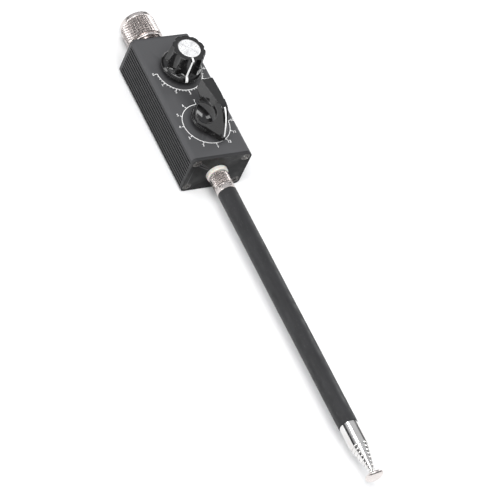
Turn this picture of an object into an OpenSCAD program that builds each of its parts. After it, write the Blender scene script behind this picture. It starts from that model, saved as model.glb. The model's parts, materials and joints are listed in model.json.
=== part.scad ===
// Portable antenna tuner: ribbed aluminium case, two dial knobs, UHF plug and telescopic whip.
// Units are millimetres. The case lies on its back: +Z leaves the front panel, +Y points
// to the UHF plug and -Y to the whip. The origin is on the back face, under the middle
// of the whole outline.

/* [Case] */
// Width of the case, across the panel
case_w = 37; // [36:0.5:42]
// Length of the case with both end plates
case_l = 88; // [86:1:96]
// Depth of the case, from back to front panel
case_h = 26; // [26:0.5:30]
// Corner radius along the case
case_r = 2.5; // [2:0.1:2.8]
// Wall thickness of the extrusion
case_wall = 1.5; // [1.3:0.1:1.6]
// Number of grooves on each ribbed side
groove_count = 10; // [6:1:10]
// Distance from groove to groove
groove_pitch = 2.1; // [1.5:0.1:2.1]
// Thickness of each end plate
plate_t = 2; // [1.8:0.1:2.2]

/* [Dials] */
// Distance of the capacitor axis from the middle of the case, towards the plug
tune_y = 18; // [17.5:0.5:19]
// Distance of the switch axis from the middle of the case, towards the whip
band_y = 20; // [19.5:0.5:21]
// Radius of the printed arc round the tuning knob
tune_scale_r = 13.6; // [12.8:0.1:14]
// Radius of the printed ring round the band knob
band_scale_r = 13.8; // [12.8:0.1:14.2]
// Thickness of the white printing
print_t = 0.06; // [0.04:0.01:0.1]

/* [Knobs] */
// Gap from the panel to the underside of both knobs
knob_lift = 4; // [3.9:0.1:5]
// Radius of the tuning knob's skirt
tune_skirt_r = 12; // [11.6:0.1:12.4]
// Height of the tuning knob
tune_knob_h = 15.4; // [14:0.1:17]
// Number of flutes round the tuning knob
flute_count = 10; // [8:1:12]
// Radius of the metal disc let into the tuning knob
inlay_r = 6.4; // [5:0.1:6.6]
// Angle of the tuning line at rest, from the whip end towards the left
tune_rest_angle = 10; // [0:1:30]
// Radius of the round foot of the band knob
band_foot_r = 10.2; // [9.8:0.1:10.6]
// Length from the switch axis to the nose of the band knob
band_nose = 16.2; // [15.5:0.1:17]
// Length from the switch axis to the tail of the band knob
band_tail = 14.3; // [13.5:0.1:15]
// Height of the band knob
band_knob_h = 18.6; // [18:0.1:19]
// Angle of the band knob's line at rest, from the whip end towards the right
band_rest_angle = 5; // [0:1:10]
// Diameter of both knob shafts
shaft_d = 6; // [5.8:0.1:6.1]

/* [UHF plug] */
// Outside diameter of the coupling nut
coupling_d = 20.3; // [19.6:0.1:20.6]
// Length of the coupling nut
coupling_l = 17.7; // [17.4:0.1:18.4]
// Gap from the end plate to the coupling nut
coupling_gap = 7.5; // [7.4:0.1:7.6]
// Height of the plug's axis above the back face
plug_z = 10.4; // [10.2:0.1:13]
// Diameter of the centre pin
pin_d = 3.96; // [3.9:0.01:4.1]

/* [Whip] */
// Diameter of the insulating washer under the whip
washer_d = 12.4; // [11.6:0.1:13]
// Diameter of the whip's knurled foot
foot_d = 11.3; // [11:0.1:12]
// Length of the black sleeve
sleeve_l = 155; // [120:1:180]
// Outside diameter of the black sleeve
sleeve_d = 10.8; // [10.4:0.1:11]
// Outside diameter of the outer tube
tube_d = 9.9; // [9.8:0.1:10]
// How far each closed section stands out of the one round it
section_step = 2.05; // [1.5:0.05:3]
// Diameter of the end button
button_d = 10.2; // [8:0.1:12]
// Thickness of the end button
button_t = 2.3; // [1.8:0.1:3]

/* [Hidden] */
$fn = 64;
// Overshoot of a cutting tool past the face that it cuts
cut = 1;

// Colours
black_satin = [0.12, 0.12, 0.13];
black_gloss = [0.03, 0.03, 0.03];
nickel = [0.78, 0.76, 0.73];
chrome = [0.86, 0.86, 0.87];
brass = [0.78, 0.62, 0.28];
white = [0.92, 0.92, 0.9];
phenolic = [0.45, 0.28, 0.14];
plastic_clear = [0.85, 0.85, 0.8];
copper = [0.72, 0.36, 0.18];
board_green = [0.1, 0.35, 0.18];
ferrite = [0.7, 0.15, 0.12];
rubber_black = [0.05, 0.05, 0.05];

// Screws of the end plates
screw_inset = 3.3;
screw_r = 1.5;
screw_core_r = 1.25;
screw_head_r = 2.7;
screw_head_t = 1.5;
screw_l = 8;
channel_r = 2.5;

// Grooves of the ribbed sides
groove_r = 0.5;
groove_first_z = 2.6;
groove_sink = 0.08;

// Board and the rails that hold it
board_t = 1.2;
board_z = 6.9;
board_y = [-30, 31];
rail_reach = 1.2;
rail_t = 0.9;
rail_gap = 0.1;

// Bushings, nuts and washers under the knobs
bushing_r = 3.5;
bushing_top = 3.6;
bushing_gap = 0.05;
panel_washer_t = 0.8;
panel_washer_r = 6.5;
panel_nut_t = 2.2;
panel_nut_flats = 10;

// Variable capacitor
cap_w = 20;
cap_h = 12;
cap_wall = 0.7;
cap_lid = 1;
plate_pitch = 1.6;
vane_t = 0.4;
rotor_plates = 4;
rotor_r = 8.5;
spindle_r = 1.5;
post_r = 0.8;
post_at = 7.2;

// Rotary switch
switch_r = 11.2;
switch_wall = 0.8;
switch_depth = 8.5;
wafer_t = 1.6;
positions = 12;
contact_ring_r = 9.2;
contact_r = 0.5;
star_r = 6.6;
rotor_disc_r = 7.2;
stop_w = 1.5;

// Knob inserts and set screws
insert_r = 4.2;
insert_h = 8.4;
set_screw_r = 1.5;
tune_grip_r = 10.4;
line_t = 0.15;

// UHF plug, as distances from the outer face of its end plate
plug_flange_r = 8.5;
plug_flange_t = 2.5;
plug_neck_r = 6.4;
plug_shoulder = [9.7, 11.8];
plug_shoulder_r = 7.1;
nose_r = 6;
nose_end = 20.9;
nose_bore_r = 5;
plug_bore_r = 4;
plug_bore_step = 9.5;
insulator_end = 17.5;
spigot_r = 5.5;
spigot_l = 3.2;
pin_reach = 24.7;
pin_back = 8.5;
pin_root_r = 2.4;
lip_r = 6.75;
lip_t = 1.8;
coupling_bore_r = 7.45;

// Whip, as distances from the outer face of its end plate
washer_t = 2.6;
stud_r = 2.5;
stud_hole_r = 4;
foot_gap = 0.3;
foot_knurl_l = 7.9;
foot_l = 11.6;
foot_bore = 8.5;
foot_socket = 3;
tube_bare_l = 13.9;
tube_wall = 0.2;
nest_gap = 0.25;
slide_gap = 0.03;
lip_l = 1;
collar_l = 8;
base_first = 13;
base_step = 1.5;
section_count = 8;
foot_start = washer_t + foot_gap;
foot_end = foot_start + foot_l;
sleeve_end = foot_end + sleeve_l;
tube_end = sleeve_end + tube_bare_l;
function section_r(k) = tube_d / 2 - k * (tube_wall + nest_gap);
function section_end(k) = tube_end + k * section_step;
function section_base(k) = base_first + k * base_step;

// The two ends of the outline, from the case's end plates, set the case's place
plug_reach = coupling_gap + coupling_l;
whip_reach = section_end(section_count) + button_t;
case_mid_y = (whip_reach - plug_reach) / 2;
inside_w = case_w - 2 * case_wall;

// ---- Places ----

module at_case() translate([0, case_mid_y, 0]) children();

// Local +Z leaves the panel
module at_tune() translate([0, case_mid_y + tune_y, case_h]) children();
module at_band() translate([0, case_mid_y - band_y, case_h]) children();

// Local +Z leaves the end plate
module at_plug() translate([0, case_mid_y + case_l / 2, plug_z]) rotate([-90, 0, 0]) children();
module at_whip() translate([0, case_mid_y - case_l / 2, case_h / 2]) rotate([90, 0, 0]) children();

module at_corners() {
    for (x = [-1, 1], z = [screw_inset, case_h - screw_inset])
        translate([x * (case_w / 2 - screw_inset), z]) children();
}

// ---- Shared shapes ----

module rounded_rect(w, h, r) {
    translate([-w / 2, r]) square([w, h - 2 * r]);
    translate([-w / 2 + r, 0]) square([w - 2 * r, h]);
    for (x = [-1, 1], y = [r, h - r])
        translate([x * (w / 2 - r), y]) circle(r);
}

module hex_nut(flats, t, bore_r) {
    difference() {
        intersection() {
            cylinder(d = flats / cos(30), h = t, $fn = 6);
            cylinder(r1 = flats / 2 + 0.1, r2 = flats / 2 + 0.1 + t, h = t);
            cylinder(r1 = flats / 2 + 0.1 + t, r2 = flats / 2 + 0.1, h = t);
        }
        translate([0, 0, -cut]) cylinder(r = bore_r, h = t + 2 * cut);
    }
}

module ring(outer_r, inner_r, h) {
    difference() {
        cylinder(r = outer_r, h = h);
        translate([0, 0, -cut]) cylinder(r = inner_r, h = h + 2 * cut);
    }
}

module set_screw(l) {
    difference() {
        cylinder(r = set_screw_r - 0.02, h = l);
        translate([0, 0, l - 1.2]) cylinder(r = 0.8, h = 2, $fn = 6);
    }
}

// A tube of radius r along a list of points
module tube(points, r, sides = 8) {
    n = len(points);
    function dir(i) = let (a = points[max(i - 1, 0)], b = points[min(i + 1, n - 1)])
        (b - a) / norm(b - a);
    function side(i) = let (c = cross(dir(i), [0, 0, 1])) c / norm(c);
    verts = [for (i = [0:n - 1]) let (u = side(i), v = cross(u, dir(i)))
        for (k = [0:sides - 1]) points[i]
            + r * (cos(360 * k / sides) * u + sin(360 * k / sides) * v)];
    walls = [for (i = [0:n - 2], k = [0:sides - 1]) let (j = (k + 1) % sides)
        [i * sides + k, i * sides + j, (i + 1) * sides + j, (i + 1) * sides + k]];
    first = [for (k = [sides - 1:-1:0]) k];
    last = [for (k = [0:sides - 1]) (n - 1) * sides + k];
    polyhedron(verts, concat([first], walls, [last]));
}

// ---- Case ----

module case_outline() rounded_rect(case_w, case_h, case_r);

module board_rails() {
    for (s = [-1, 1], z = [board_z - rail_gap - rail_t, board_z + board_t + rail_gap])
        translate([s * (inside_w / 2 - rail_reach / 2 + 0.1), z + rail_t / 2])
            square([rail_reach + 0.2, rail_t], center = true);
}

module case_section() {
    difference() {
        case_outline();
        difference() {
            translate([0, case_wall])
                rounded_rect(inside_w, case_h - 2 * case_wall, case_r - case_wall);
            at_corners() circle(channel_r);
            board_rails();
        }
        at_corners() circle(screw_core_r);
        for (s = [-1, 1], i = [0:groove_count - 1])
            translate([s * (case_w / 2 + groove_sink), groove_first_z + i * groove_pitch])
                circle(groove_r, $fn = 24);
    }
}

module case_shell() color(black_satin) difference() {
    at_case() rotate([90, 0, 0])
        linear_extrude(case_l - 2 * plate_t, center = true) case_section();
    at_tune() translate([0, 0, -case_wall - cut])
        cylinder(r = bushing_r + bushing_gap, h = case_wall + 2 * cut);
    at_band() translate([0, 0, -case_wall - cut])
        cylinder(r = bushing_r + bushing_gap, h = case_wall + 2 * cut);
}

// An end plate with its inner face at z = 0, seen from outside
// An end plate with its hole at the origin, which is hole_y up from the edge at low y
module end_plate(hole_r, hole_y) {
    difference() {
        linear_extrude(plate_t) difference() {
            translate([0, -hole_y]) case_outline();
            circle(hole_r);
            translate([0, -hole_y]) at_corners() circle(screw_r + 0.1);
        }
        translate([0, -hole_y, plate_t - screw_head_t]) at_corners()
            cylinder(r1 = screw_r + 0.1, r2 = screw_head_r + 0.15, h = screw_head_t + 0.01);
    }
}

module plug_end_plate() color(black_satin)
    at_plug() translate([0, 0, -plate_t]) end_plate(spigot_r + 0.05, case_h - plug_z);

module whip_end_plate() color(black_satin)
    at_whip() translate([0, 0, -plate_t]) end_plate(stud_hole_r + 0.05, case_h / 2);

module cross_recess(depth) {
    for (a = [0, 90]) rotate(a)
        translate([-1.4, -0.3, -depth]) cube([2.8, 0.6, depth + cut]);
}

module end_screw() {
    difference() {
        union() {
            translate([0, 0, -screw_head_t])
                cylinder(r1 = screw_core_r, r2 = screw_head_r, h = screw_head_t);
            translate([0, 0, -screw_l]) cylinder(r = screw_core_r, h = screw_l - 1);
        }
        cross_recess(0.9);
    }
}

module end_screws() color(black_satin) {
    at_plug() translate([0, plug_z - case_h, -0.05]) at_corners() rotate(20) end_screw();
    at_whip() translate([0, -case_h / 2, -0.05]) at_corners() rotate(35) end_screw();
}

// ---- Dials ----

module tick(r, l, w) translate([r - 0.1, -w / 2, 0]) cube([l + 0.1, w, print_t]);

module panel_printing() color(white) {
    at_tune() {
        intersection() {
            ring(tune_scale_r + 0.2, tune_scale_r - 0.2, print_t);
            translate([-20, -20, -cut]) cube([40, 20.2, 3]);
        }
        for (i = [0:24]) rotate(180 + i * 7.5)
            tick(tune_scale_r, i % 4 == 0 ? 1.6 : 0.9, i % 4 == 0 ? 0.4 : 0.3);
    }
    at_band() {
        ring(band_scale_r + 0.2, band_scale_r - 0.2, print_t);
        for (i = [0:positions - 1]) rotate(i * 360 / positions)
            tick(band_scale_r, 1.3, 0.4);
    }
}

// ---- Hardware under the knobs ----

module on_bushings() {
    at_tune() children();
    at_band() children();
}

module panel_washers() color(nickel) on_bushings()
    ring(panel_washer_r, bushing_r + bushing_gap, panel_washer_t);

module panel_nuts() color(nickel) on_bushings()
    translate([0, 0, panel_washer_t]) rotate(12) hex_nut(panel_nut_flats, panel_nut_t, bushing_r);

module bushing() {
    difference() {
        translate([0, 0, -case_wall - cap_lid])
            cylinder(r = bushing_r, h = case_wall + cap_lid + bushing_top);
        translate([0, 0, -10]) cylinder(r = shaft_d / 2 + bushing_gap, h = 20);
    }
}

// ---- Variable capacitor under the tuning knob ----

cap_top = -case_wall;
stator_first = cap_top - cap_h + cap_lid + 0.9;
rotor_first = stator_first + plate_pitch / 2;

module capacitor_case() color(plastic_clear) at_tune() {
    difference() {
        translate([-cap_w / 2, -cap_w / 2, cap_top - cap_h]) cube([cap_w, cap_w, cap_h]);
        translate([-cap_w / 2 + cap_wall, -cap_w / 2 + cap_wall, cap_top - cap_h + cap_lid])
            cube([cap_w - 2 * cap_wall, cap_w - 2 * cap_wall, cap_h - 2 * cap_lid]);
        translate([0, 0, cap_top - cap_lid - cut]) cylinder(r = bushing_r, h = cap_lid + 2 * cut);
        translate([0, 0, cap_top - cap_h - cut]) cylinder(r = spindle_r + 0.05, h = 3);
        for (s = [-1, 1]) translate([s * post_at, -post_at, cap_top - cap_h - cut])
            cylinder(r = post_r + 0.05, h = 3);
    }
    bushing();
}

module capacitor_stator() color(nickel) at_tune() {
    for (i = [0:rotor_plates]) translate([0, 0, stator_first + i * plate_pitch])
        difference() {
            translate([-8.8, -8.8, 0]) cube([17.6, 8.4, vane_t]);
            translate([0, 0, -cut]) cylinder(r = spindle_r + 0.8, h = 3);
        }
    for (s = [-1, 1]) translate([s * post_at, -post_at, cap_top - cap_h - 1.2])
        cylinder(r = post_r, h = stator_first - cap_top + cap_h + 1.2 + rotor_plates * plate_pitch);
}

module capacitor_rotor() color(nickel) at_tune() rotate(-tune_rest_angle)
    for (i = [0:rotor_plates - 1]) translate([0, 0, rotor_first + i * plate_pitch])
        difference() {
            intersection() {
                cylinder(r = rotor_r, h = vane_t);
                translate([-10, -1.9, -cut]) cube([20, 20, 3]);
            }
            translate([0, 0, -cut]) cylinder(r = spindle_r, h = 3);
        }

module knob_shaft(bottom, top) {
    translate([0, 0, bottom]) cylinder(d = shaft_d, h = top - bottom);
}

module capacitor_shaft() color(brass) at_tune() {
    knob_shaft(cap_top - cap_lid - 0.4, knob_lift + insert_h - 0.5);
    translate([0, 0, cap_top - cap_h + 0.1]) cylinder(r = spindle_r, h = cap_h - cap_lid);
}

// ---- Rotary switch under the band knob ----

switch_top = -case_wall;
wafer_top = switch_top - switch_depth;
rotor_z = wafer_top + 1.4;
// The stop lies opposite the middle of the knob's travel, seen from the line at rest
stop_angle = -90 + 15 + 180;

module switch_housing() color(nickel) at_band() {
    difference() {
        translate([0, 0, wafer_top]) cylinder(r = switch_r, h = switch_depth);
        translate([0, 0, wafer_top - cut])
            cylinder(r = switch_r - switch_wall, h = switch_depth - cap_lid + cut);
        translate([0, 0, switch_top - cap_lid - cut])
            cylinder(r = bushing_r, h = cap_lid + 2 * cut);
    }
    bushing();
    rotate(stop_angle) translate([8, -stop_w / 2, rotor_z + 0.4])
        cube([2.6, stop_w, switch_top - cap_lid - rotor_z - 0.4 + 0.1]);
}

module switch_wafer() color(phenolic) at_band() difference() {
    translate([0, 0, wafer_top - wafer_t]) cylinder(r = switch_r, h = wafer_t);
    for (i = [0:positions - 1]) rotate(i * 360 / positions)
        translate([contact_ring_r, 0, wafer_top - wafer_t - cut])
            cylinder(r = contact_r, h = wafer_t + 2 * cut);
}

module switch_contacts() color(brass) at_band()
    for (i = [0:positions - 1]) rotate(i * 360 / positions)
        translate([contact_ring_r, 0, wafer_top - wafer_t - 1.8])
            cylinder(r = contact_r, h = wafer_t + 1.8 + 0.6);

module detent_spring() color(nickel) at_band() rotate(45) {
    translate([star_r + 1.6, 0, switch_top - 4]) cylinder(r = 1.2, h = 2);
    translate([star_r + 2.7, -3.4, switch_top - 4]) cube([0.4, 6.8, 2]);
}

module switch_shaft() color(brass) at_band() {
    knob_shaft(rotor_z - 0.5, knob_lift + insert_h - 0.5);
    translate([0, 0, switch_top - 4]) difference() {
        cylinder(r = star_r, h = 2);
        for (i = [0:positions - 1]) rotate(15 + i * 360 / positions)
            translate([star_r + 0.3, 0, -cut]) cylinder(r = 0.9, h = 4);
    }
}

module switch_rotor() color(phenolic) at_band() {
    translate([0, 0, rotor_z]) difference() {
        union() {
            cylinder(r = rotor_disc_r, h = 1.4);
            rotate(-90) translate([6, -stop_w / 2, 0]) cube([3, stop_w, 1.4]);
        }
        translate([0, 0, -cut]) cylinder(d = shaft_d, h = 4);
    }
    rotate(-90) translate([shaft_d / 2 + 0.5, -0.8, rotor_z - 0.3]) cube([6.6, 1.6, 0.3]);
}

// ---- Board, toroid and wiring ----

toroid_y = -1.2;
toroid_mean_r = 5.1;
toroid_core_w = 2.5;
toroid_core_h = 4.8;
turn_r = 3.1;
wire_r = 0.35;
turns = 14;
toroid_z = board_z + board_t + turn_r + wire_r + 0.1;

module circuit_board() color(board_green) at_case() difference() {
    translate([-inside_w / 2 + 0.2, board_y[0], board_z])
        cube([inside_w - 0.4, board_y[1] - board_y[0], board_t]);
    for (x = [-12, 12], y = [-26, 27])
        translate([x, y, board_z - cut]) cylinder(r = 1.2, h = board_t + 2 * cut);
}

module toroid_core() color(ferrite) at_case() translate([0, toroid_y, toroid_z - toroid_core_h / 2])
    ring(toroid_mean_r + toroid_core_w / 2, toroid_mean_r - toroid_core_w / 2, toroid_core_h);

module toroid_winding() color(copper) at_case() translate([0, toroid_y, toroid_z])
    for (i = [0:turns - 1]) rotate((i + 0.5) * 360 / turns)
        translate([toroid_mean_r, 0, 0]) rotate([90, 0, 0])
            rotate_extrude($fn = 32) translate([turn_r, 0]) circle(wire_r, $fn = 16);

// Routes of the wires between the soldered points, with y from the middle of the case
post_end_z = case_h + cap_top - cap_h - 1.2;
solder_gap = 0.5;
wire_routes = [
    [[0, case_l / 2 - pin_back, plug_z], [0, 34.4, plug_z], [0.5, 32, 10.3],
        [2.5, 29, 10], [5.5, 22, 9.6], [7, 14, 9.8],
        [7.2, tune_y - post_at, post_end_z - solder_gap]],
    [[-7.2, tune_y - post_at, post_end_z - solder_gap], [-8, 9.6, 10.2], [-9.4, 6, 9.6],
        [-9.8, 2, 9.2], [-10, 0, 8.8], [-10.2, -1.5, 8.4]],
    [[5, -39.4, 16], [6.5, -37, 15], [8.5, -33.5, 11.6], [10.6, -29, 9.6],
        [12.4, -20, 9.2], [12.2, -10, 9.2], [11, -3, 9], [10.6, 0.5, 8.5]],
    [[-13.8, -20, 9], [-12.6, -14, 10], [-11.4, -10, 10.2], [-10.8, -6, 9.6],
        [-10.9, -4.4, 8.6]],
];

module hookup_wires() color(white) at_case()
    for (route = wire_routes) tube(route, 0.45);

// ---- UHF plug ----

module plug_body() color(nickel) at_plug() rotate_extrude() polygon([
    [plug_bore_r, -plate_t - spigot_l], [spigot_r, -plate_t - spigot_l], [spigot_r, 0],
    [plug_flange_r, 0], [plug_flange_r, plug_flange_t - 0.4],
    [plug_flange_r - 0.4, plug_flange_t], [plug_neck_r, plug_flange_t],
    [plug_neck_r, plug_shoulder[0]], [plug_shoulder_r, plug_shoulder[0]],
    [plug_shoulder_r, plug_shoulder[1]], [nose_r, plug_shoulder[1] + 0.6],
    [nose_r, nose_end - 0.3], [nose_r - 0.3, nose_end], [nose_bore_r, nose_end],
    [nose_bore_r, plug_bore_step], [plug_bore_r, plug_bore_step]
]);

module plug_insulator() color(white) at_plug() rotate_extrude() polygon([
    [pin_root_r, -plate_t - spigot_l - 0.8], [plug_bore_r, -plate_t - spigot_l - 0.8],
    [plug_bore_r, plug_bore_step], [nose_bore_r, plug_bore_step],
    [nose_bore_r, insulator_end], [pin_root_r, insulator_end]
]);

module plug_pin() color(brass) at_plug() rotate_extrude() polygon([
    [0, -pin_back], [pin_root_r, -pin_back], [pin_root_r, insulator_end],
    [pin_d / 2, insulator_end], [pin_d / 2, pin_reach - 1],
    [pin_d / 2 - 0.3, pin_reach - 0.4], [pin_d / 2 - 1, pin_reach], [0, pin_reach]
]);

module plug_nut() color(nickel) at_plug() translate([0, 0, -plate_t - 2.6])
    rotate(30) hex_nut(14, 2.6, spigot_r);

module coupling_nut() color(nickel) at_plug() difference() {
    rotate_extrude() polygon([
        [0, coupling_gap], [coupling_d / 2 - 0.9, coupling_gap],
        [coupling_d / 2 - 0.5, coupling_gap + 0.4], [coupling_d / 2 - 0.5, coupling_gap + 1.4],
        [coupling_d / 2, coupling_gap + 1.7], [coupling_d / 2, coupling_gap + coupling_l - 3.2],
        [coupling_d / 2 - 0.5, coupling_gap + coupling_l - 2.8],
        [coupling_d / 2 - 0.6, coupling_gap + coupling_l - 0.7],
        [coupling_d / 2 - 1.2, coupling_gap + coupling_l], [0, coupling_gap + coupling_l]
    ]);
    translate([0, 0, coupling_gap - cut]) cylinder(r = lip_r, h = lip_t + 2 * cut);
    translate([0, 0, coupling_gap + lip_t])
        cylinder(r = coupling_bore_r, h = coupling_l);
}

// ---- Whip mounting ----

module whip_stud() color(brass) at_whip() rotate_extrude() polygon([
    [0, -plate_t - 6.4], [stud_r - 0.4, -plate_t - 6.4], [stud_r, -plate_t - 6],
    [stud_r, foot_start + foot_bore - 1.4], [stud_r - 0.4, foot_start + foot_bore - 1],
    [0, foot_start + foot_bore - 1]
]);

module whip_insulator() color(white) at_whip() rotate_extrude() polygon([
    [stud_r, -plate_t], [stud_hole_r, -plate_t], [stud_hole_r, 0],
    [washer_d / 2 - 0.3, 0], [washer_d / 2, 0.3], [washer_d / 2, washer_t - 0.7],
    [washer_d / 2 - 0.7, washer_t], [stud_r, washer_t]
]);

module whip_inner_washer() color(white) at_whip() translate([0, 0, -plate_t - 1.4])
    ring(washer_d / 2 - 0.2, stud_r, 1.4);

module whip_lug() color(brass) at_whip() translate([0, 0, -plate_t - 1.9]) difference() {
    union() {
        cylinder(r = 4.4, h = 0.5);
        rotate(30) translate([0, -1, 0]) cube([6.8, 2, 0.5]);
    }
    translate([0, 0, -cut]) cylinder(r = stud_r, h = 3);
}

module whip_stud_nut() color(nickel) at_whip() translate([0, 0, -plate_t - 4.9])
    hex_nut(8, 3, stud_r);

// ---- Whip ----

module whip_foot() color(nickel) at_whip() difference() {
    rotate_extrude() polygon([
        [0, foot_start], [foot_d / 2 - 0.5, foot_start], [foot_d / 2, foot_start + 0.5],
        [foot_d / 2, foot_start + foot_knurl_l - 0.3],
        [sleeve_d / 2, foot_start + foot_knurl_l], [sleeve_d / 2, foot_end], [0, foot_end]
    ]);
    translate([0, 0, foot_start - cut]) cylinder(r = stud_r + 0.04, h = foot_bore + cut);
    translate([0, 0, foot_end - foot_socket]) cylinder(d = tube_d, h = foot_socket + cut);
}

module whip_sleeve() color(rubber_black) at_whip() translate([0, 0, foot_end])
    ring(sleeve_d / 2, tube_d / 2, sleeve_l);

// A drawn tube whose free end is rolled in to guide the next section
module drawn_tube(r, base, end, guide_r) {
    rotate_extrude() polygon([
        [r - tube_wall, base], [r, base], [r, end - 0.3], [r - 0.15, end], [guide_r, end],
        [guide_r, end - lip_l], [r - tube_wall, end - lip_l]
    ]);
}

module whip_tube() color(chrome) at_whip()
    drawn_tube(tube_d / 2, foot_end - foot_socket, tube_end, section_r(1) + slide_gap);

module section(k) color(chrome) at_whip() {
    if (k < section_count)
        drawn_tube(section_r(k), section_base(k), section_end(k), section_r(k + 1) + slide_gap);
    else
        translate([0, 0, section_base(k)])
            cylinder(r = section_r(k), h = section_end(k) - section_base(k));
}

module collar(k) color(brass) at_whip() translate([0, 0, section_base(k)])
    ring(section_r(k - 1) - tube_wall - slide_gap, section_r(k), collar_l);

module whip_button() color(chrome) at_whip() translate([0, 0, section_end(section_count)])
    rotate_extrude() polygon([
        [0, 0], [button_d / 2 - 0.5, 0], [button_d / 2, 0.5], [button_d / 2, button_t - 0.7],
        [button_d / 2 - 0.6, button_t - 0.2], [button_d / 2 - 2, button_t], [0, button_t]
    ]);

// ---- Tuning knob, with local z = 0 at its underside and its line towards -Y at angle 0 ----

tune_side = [
    [tune_skirt_r - 0.4, 0], [tune_skirt_r, 0.4], [tune_skirt_r, 1.4],
    [tune_grip_r + 0.4, 2.4], [tune_grip_r, 2.8], [tune_grip_r - 0.7, tune_knob_h - 1.4],
    [tune_grip_r - 1.3, tune_knob_h - 0.3], [inlay_r + 0.6, tune_knob_h]
];

module tune_solid(grow = 0) rotate_extrude()
    polygon(concat([[0, 0]], [for (p = tune_side) p + [grow, p[1] > 1.4 ? grow : 0]],
        [[0, tune_knob_h + grow]]));

module at_tune_knob() at_tune() translate([0, 0, knob_lift]) rotate(-tune_rest_angle) children();

module knob_socket(screw_z, screw_angle, reach) {
    translate([0, 0, -cut]) cylinder(r = insert_r, h = insert_h + cut);
    rotate(screw_angle) translate([0, 0, screw_z]) rotate([0, 90, 0])
        cylinder(r = set_screw_r, h = reach);
}

module tuning_knob() color(black_gloss) at_tune_knob() difference() {
    tune_solid();
    for (i = [0:flute_count - 1]) rotate(-90 + (i + 0.5) * 360 / flute_count)
        translate([tune_grip_r + 1, 0, 3.2]) rotate([0, -2.5, 0])
            cylinder(r = 2, h = tune_knob_h);
    translate([0, 0, -cut]) cylinder(r = 8.6, h = 0.8 + cut);
    translate([0, 0, tune_knob_h - 0.6]) cylinder(r = inlay_r, h = 2);
    knob_socket(5.6, 90, 20);
}

module insert(screw_z, screw_angle) {
    difference() {
        cylinder(r = insert_r, h = insert_h);
        translate([0, 0, -cut]) cylinder(d = shaft_d, h = insert_h + 2 * cut);
        rotate(screw_angle) translate([0, 0, screw_z]) rotate([0, 90, 0])
            cylinder(r = set_screw_r, h = 20);
    }
}

module tuning_insert() color(brass) at_tune_knob() insert(5.6, 90);

module tuning_set_screw() color(nickel) at_tune_knob()
    rotate(90) translate([shaft_d / 2, 0, 5.6]) rotate([0, 90, 0]) set_screw(4.5);

module tuning_inlay() color(nickel) at_tune_knob() translate([0, 0, tune_knob_h - 0.6])
    rotate_extrude() polygon([[0, 0], [inlay_r, 0], [inlay_r, 0.45], [inlay_r - 0.3, 0.7], [0, 0.8]]);

module tuning_line() color(white) at_tune_knob() intersection() {
    difference() {
        tune_solid(line_t);
        tune_solid();
    }
    translate([-0.5, -tune_skirt_r - 2, 0.8]) cube([1, tune_skirt_r + 2 - inlay_r - 0.6, 30]);
}

// ---- Band knob, a pointer knob with its nose towards -Y ----

// Height of the ridge along the band knob, from nose to tail, as [y, z]
band_ridge = [
    [-band_nose, 2.8], [-band_nose + 1.1, 6.2], [-12.7, 11.6], [-10, 15.4],
    [-7.3, band_knob_h - 0.8], [-4.5, band_knob_h], [band_tail - 1, band_knob_h],
    [band_tail - 0.2, band_knob_h - 0.8], [band_tail, band_knob_h - 2]
];
// Finger scoops beside the band knob's grip
scoop_r = 7.6;
scoop_at = [11.6, 4.5, 12.5];
scoop_l = 15;
scoop_angle = 6;

module at_band_knob() at_band() translate([0, 0, knob_lift]) rotate(band_rest_angle) children();

// Extrudes a [y, z] outline across X, to the given width
module across(w, outline) {
    rotate([90, 0, 90]) linear_extrude(w, center = true) polygon(outline);
}

// The knob's round hub and the wedge of its nose
module band_hub() {
    rotate_extrude() polygon([
        [0, 0], [band_foot_r - 0.3, 0], [band_foot_r, 0.3], [band_foot_r, 1.2],
        [band_foot_r - 0.5, 1.8], [9.5, 8], [8.4, 12], [0, 12]
    ]);
    intersection() {
        linear_extrude(20) polygon([
            [-8.2, -4.6], [-1.3, -band_nose], [1.3, -band_nose], [8.2, -4.6], [6, 2], [-6, 2]
        ]);
        across(20, [
            [-band_nose, 0.6], [-band_nose, 2.8], [-13.5, 7.5], [-9, 11], [4, 11], [4, 0.6]
        ]);
    }
}

module band_body() {
    difference() {
        band_hub();
        for (s = [-1, 1]) translate([s * scoop_at[0], scoop_at[1], scoop_at[2]])
            rotate([90, 0, -s * scoop_angle]) cylinder(r = scoop_r, h = scoop_l);
    }
    intersection() {
        linear_extrude(20) polygon([
            [-3, band_tail], [-3.5, band_tail - 0.8], [-3.5, 9], [-2.9, 2], [-2.7, -2],
            [-1.1, -band_nose], [1.1, -band_nose], [2.7, -2], [2.9, 2], [3.5, 9],
            [3.5, band_tail - 0.8], [3, band_tail]
        ]);
        across(20, concat([[band_tail, 10.6], [9.2, 8], [9.2, 1], [-band_nose, 1]], band_ridge));
    }
}

module band_knob() color(black_gloss) at_band_knob() difference() {
    band_body();
    translate([0, 0, -cut]) cylinder(r = 8.6, h = 0.8 + cut);
    knob_socket(5.6, 90, 20);
}

module band_insert() color(brass) at_band_knob() insert(5.6, 90);

module band_set_screw() color(nickel) at_band_knob()
    rotate(90) translate([shaft_d / 2, 0, 5.6]) rotate([0, 90, 0]) set_screw(4);

module band_line() color(white) at_band_knob() {
    crest = [for (i = [0:4]) band_ridge[i]];
    lifted = [for (i = [4:-1:0]) band_ridge[i] + [0, line_t]];
    across(0.9, concat(crest, lifted));
}

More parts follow.
